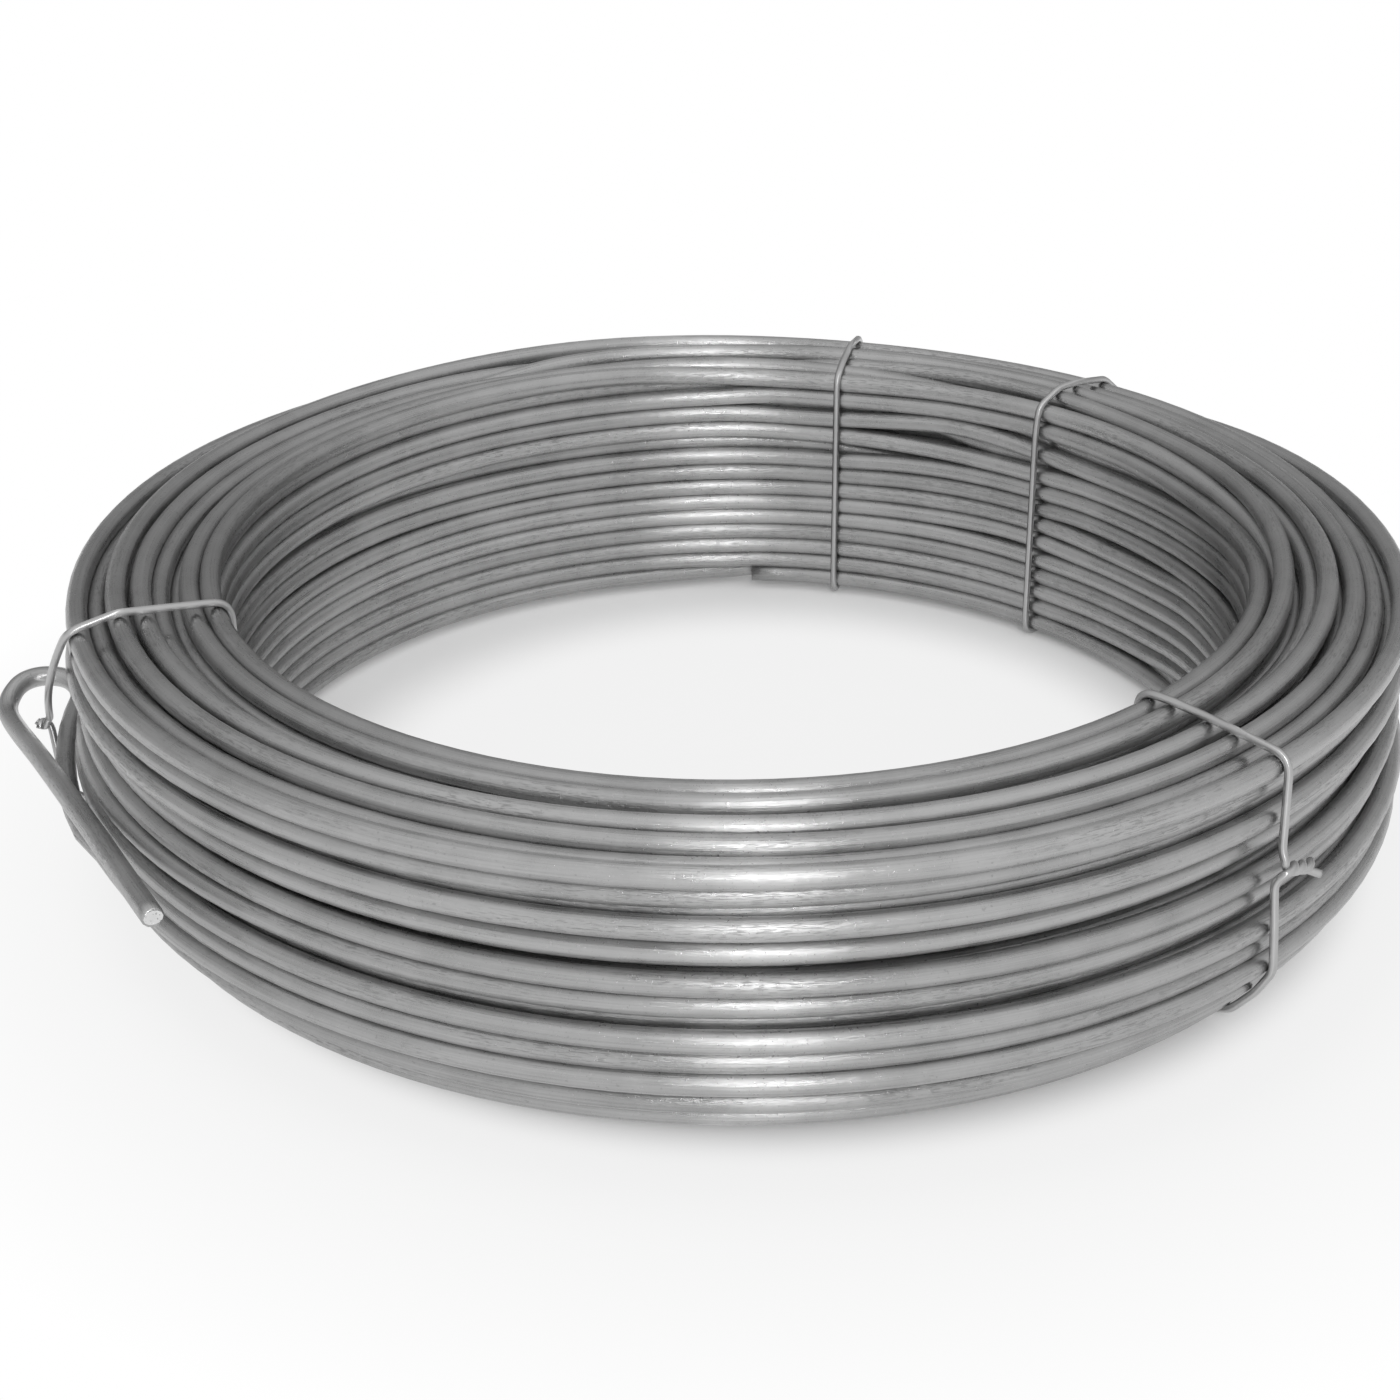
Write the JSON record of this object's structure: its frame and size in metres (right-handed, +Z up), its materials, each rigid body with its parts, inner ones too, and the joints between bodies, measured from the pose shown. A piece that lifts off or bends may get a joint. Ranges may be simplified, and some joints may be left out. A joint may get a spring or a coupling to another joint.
{
  "type": "coil of galvanised steel wire",
  "caption": "Flat-lying coil of galvanised steel wire with an open bore, its outer end hooked back, held together by thin tie wires with twisted ends.",
  "frame": {"origin": "on the bore's axis, at the level of the floor the coil lies on", "axes": "+Z up along the bore's axis; -Y towards the front of the picture, +X to its right"},
  "size_m": [0.2804, 0.2613, 0.0574],
  "materials": {
    "zinc_wire": "satin zinc, drawn",
    "tie_wire": "bright zinc"
  },
  "bodies": {
    "root": {"wire_coil": "zinc_wire", "tie_left": "tie_wire", "tie_front": "tie_wire", "tie_back": "tie_wire", "tie_right": "tie_wire"}
  },
  "joints": []
}
